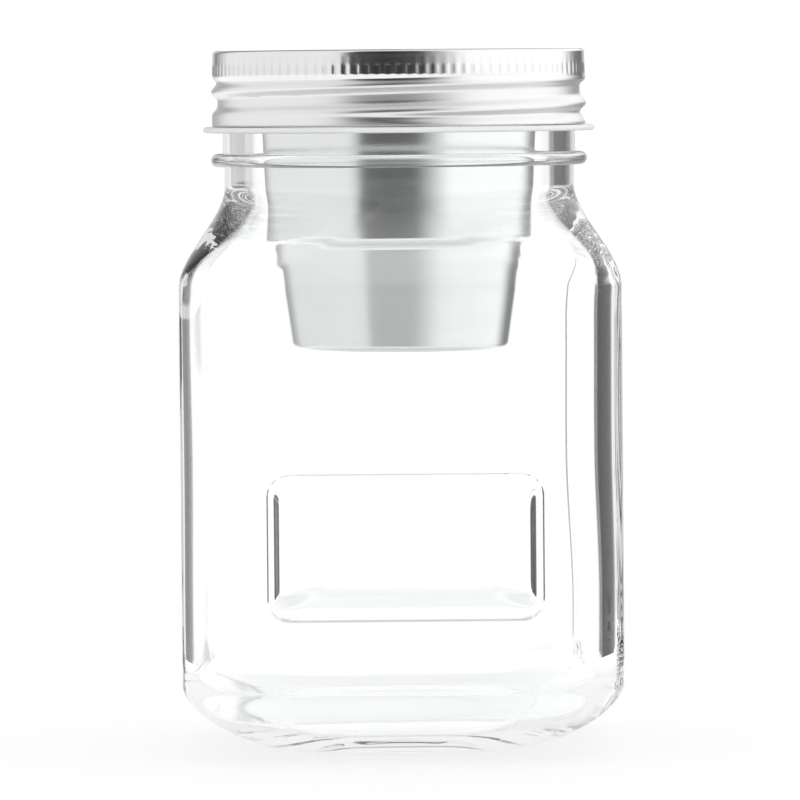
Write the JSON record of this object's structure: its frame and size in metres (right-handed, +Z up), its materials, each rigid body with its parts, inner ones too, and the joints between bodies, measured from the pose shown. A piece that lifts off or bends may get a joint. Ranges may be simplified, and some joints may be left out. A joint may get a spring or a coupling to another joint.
{
  "type": "glass jar with lid",
  "caption": "Square glass jar with a round neck, a two-piece screw lid and a stepped steel snack pot that hangs in its mouth.",
  "frame": {"origin": "centre of the base, on the plane that the jar stands on", "axes": "+Z up along the neck's axis, -Y out of the face with the label panel, +X to the right seen from that face"},
  "size_m": [0.084, 0.084, 0.1347],
  "materials": {
    "clear_glass": "clear pressed glass",
    "clear_silicone": "translucent silicone",
    "satin_steel": "satin stainless steel",
    "white_silicone": "matt silicone",
    "tinplate_disc": "bright tinplate",
    "seal_compound": "soft sealing compound",
    "tinplate_band": "bright tinplate"
  },
  "bodies": {
    "jar": {"glass_jar": "clear_glass", "neck_ring": "clear_silicone"},
    "pot": {"snack_pot": "satin_steel", "pot_gasket": "white_silicone"},
    "disc": {"lid_disc": "tinplate_disc", "disc_seal": "seal_compound"},
    "band": {"screw_band": "tinplate_band"}
  },
  "joints": [
    {"name": "disc_lift", "type": "slide", "parent": "jar", "child": "disc", "axis": [0, 0, 1], "range_m": [0, 0.0305]},
    {"name": "band_turn", "type": "hinge", "parent": "disc", "child": "band", "pos_m": [0, 0, 0.1275], "axis": [0, 0, 1], "range_deg": [0, 2160]},
    {"name": "pot_lift", "type": "slide", "parent": "jar", "child": "pot", "axis": [0, 0, 1], "range_m": [0, 0.01525]}
  ],
  "couplings": [
    {"joint": "disc_lift", "follows": "band_turn", "m_per_rad": 0.00080851},
    {"joint": "pot_lift", "follows": "band_turn", "m_per_rad": 0.00040425}
  ]
}
